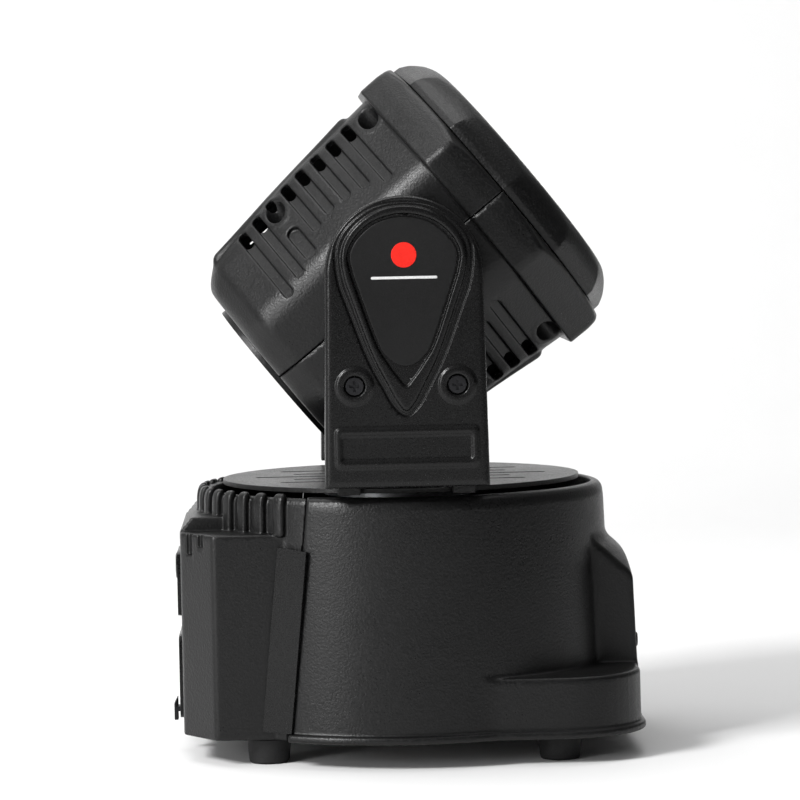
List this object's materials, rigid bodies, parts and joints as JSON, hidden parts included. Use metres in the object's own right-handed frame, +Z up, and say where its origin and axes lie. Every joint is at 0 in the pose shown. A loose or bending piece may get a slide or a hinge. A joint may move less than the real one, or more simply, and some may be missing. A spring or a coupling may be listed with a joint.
{
  "type": "moving head light",
  "caption": "Compact moving head wash light: round base with display and rear sockets, panning two-armed yoke, tilting vented lamp head with a lens array.",
  "frame": {"origin": "on the surface the feet stand on, under the middle of the part's box; the pan axis is 0.3 mm behind it", "axes": "+Z up along the pan axis, +X towards the display, +Y to the display's left seen from behind it; the tilt axis runs along Y"},
  "size_m": [0.1774, 0.1696, 0.2598],
  "materials": {
    "shell": "black ABS with a fine spark-eroded grain",
    "satin": "smoother satin black ABS",
    "badge": "plain black label stock or light-absorbing plate",
    "rubber": "soft black rubber",
    "steel": "plated sheet or turned steel",
    "dark_steel": "black oxide or black paint on steel",
    "aluminium": "plain turned or extruded aluminium",
    "pcb": "green glass-epoxy board with parts",
    "white_pcb": "white metal-core board",
    "lens": "clear moulded optic",
    "window": "dark smoked display window"
  },
  "bodies": {
    "base": {"base_plate": "dark_steel", "base_front_shell": "shell", "base_rear_shell": "shell", "foot_front_left": "rubber", "foot_front_right": "rubber", "foot_rear_left": "rubber", "foot_rear_right": "rubber", "seam_trim_right": "satin", "seam_trim_left": "satin", "display_window": "window", "display_board": "pcb", "power_inlet": "satin", "fuse_cap": "satin", "data_socket_in": "satin", "data_socket_out": "satin", "pan_bridge": "steel", "pan_bearing": "steel", "pan_motor": "dark_steel", "pan_belt": "rubber", "power_supply": "pcb", "control_board": "pcb"},
    "menu_button_1": {"menu_button_1": "satin"},
    "menu_button_2": {"menu_button_2": "satin"},
    "menu_button_3": {"menu_button_3": "satin"},
    "menu_button_4": {"menu_button_4": "satin"},
    "data_latch": {"data_latch": "dark_steel"},
    "pan_rotor": {"pan_motor_pulley": "aluminium"},
    "yoke": {"yoke_turntable": "shell", "pan_hub": "aluminium", "arm_inner_right": "satin", "arm_inner_left": "satin", "arm_cover_right": "satin", "arm_cover_left": "satin", "badge_right": "badge", "badge_left": "badge", "arm_screw_front_right": "dark_steel", "arm_screw_front_left": "dark_steel", "arm_screw_rear_right": "dark_steel", "arm_screw_rear_left": "dark_steel", "tilt_motor": "dark_steel", "tilt_belt": "rubber"},
    "tilt_rotor": {"tilt_motor_pulley": "aluminium"},
    "head": {"head_upper_shell": "shell", "head_lower_shell": "shell", "head_screw_1": "dark_steel", "head_screw_2": "dark_steel", "head_screw_3": "dark_steel", "head_screw_4": "dark_steel", "front_ring": "shell", "lens_mask": "badge", "lens_array": "lens", "led_board": "white_pcb", "heatsink": "aluminium", "driver_board": "pcb", "fan_frame": "satin", "rear_grille": "shell", "tilt_shaft_right": "steel", "tilt_shaft_left": "steel", "tilt_pulley": "aluminium"},
    "fan": {"fan_rotor": "satin"}
  },
  "joints": [
    {"name": "pan", "type": "hinge", "parent": "base", "child": "yoke", "pos_m": [-0.0003, 0, 0.0994], "axis": [0, 0, 1], "range_deg": [-270, 270]},
    {"name": "tilt", "type": "hinge", "parent": "yoke", "child": "head", "pos_m": [-0.0003, 0, 0.1808], "axis": [0, 1, 0], "range_deg": [-165.5, 64.5]},
    {"name": "pan_motor_spin", "type": "hinge", "parent": "base", "child": "pan_rotor", "pos_m": [0.0457, 0, 0.0782], "axis": [0, 0, 1], "range_deg": [-1080, 1080]},
    {"name": "tilt_motor_spin", "type": "hinge", "parent": "yoke", "child": "tilt_rotor", "pos_m": [-0.0003, -0.0775, 0.1228], "axis": [0, 1, 0], "range_deg": [-497, 194]},
    {"name": "fan_spin", "type": "hinge", "parent": "head", "child": "fan", "pos_m": [0.0021, 0, 0.18197], "axis": [0.776, 0, 0.6307], "continuous": true},
    {"name": "menu_button_1_press", "type": "slide", "parent": "base", "child": "menu_button_1", "axis": [-1, 0, 0], "range_m": [0, 0.001], "stiffness_N_per_m": 300, "springref_m": -0.001},
    {"name": "menu_button_2_press", "type": "slide", "parent": "base", "child": "menu_button_2", "axis": [-1, 0, 0], "range_m": [0, 0.001], "stiffness_N_per_m": 300, "springref_m": -0.001},
    {"name": "menu_button_3_press", "type": "slide", "parent": "base", "child": "menu_button_3", "axis": [-1, 0, 0], "range_m": [0, 0.001], "stiffness_N_per_m": 300, "springref_m": -0.001},
    {"name": "menu_button_4_press", "type": "slide", "parent": "base", "child": "menu_button_4", "axis": [-1, 0, 0], "range_m": [0, 0.001], "stiffness_N_per_m": 300, "springref_m": -0.001},
    {"name": "data_latch_press", "type": "slide", "parent": "base", "child": "data_latch", "axis": [1, 0, 0], "range_m": [0, 0.001], "stiffness_N_per_m": 300, "springref_m": -0.001}
  ],
  "couplings": [
    {"joint": "pan_motor_spin", "follows": "pan", "ratio": 4},
    {"joint": "tilt_motor_spin", "follows": "tilt", "ratio": 3}
  ]
}
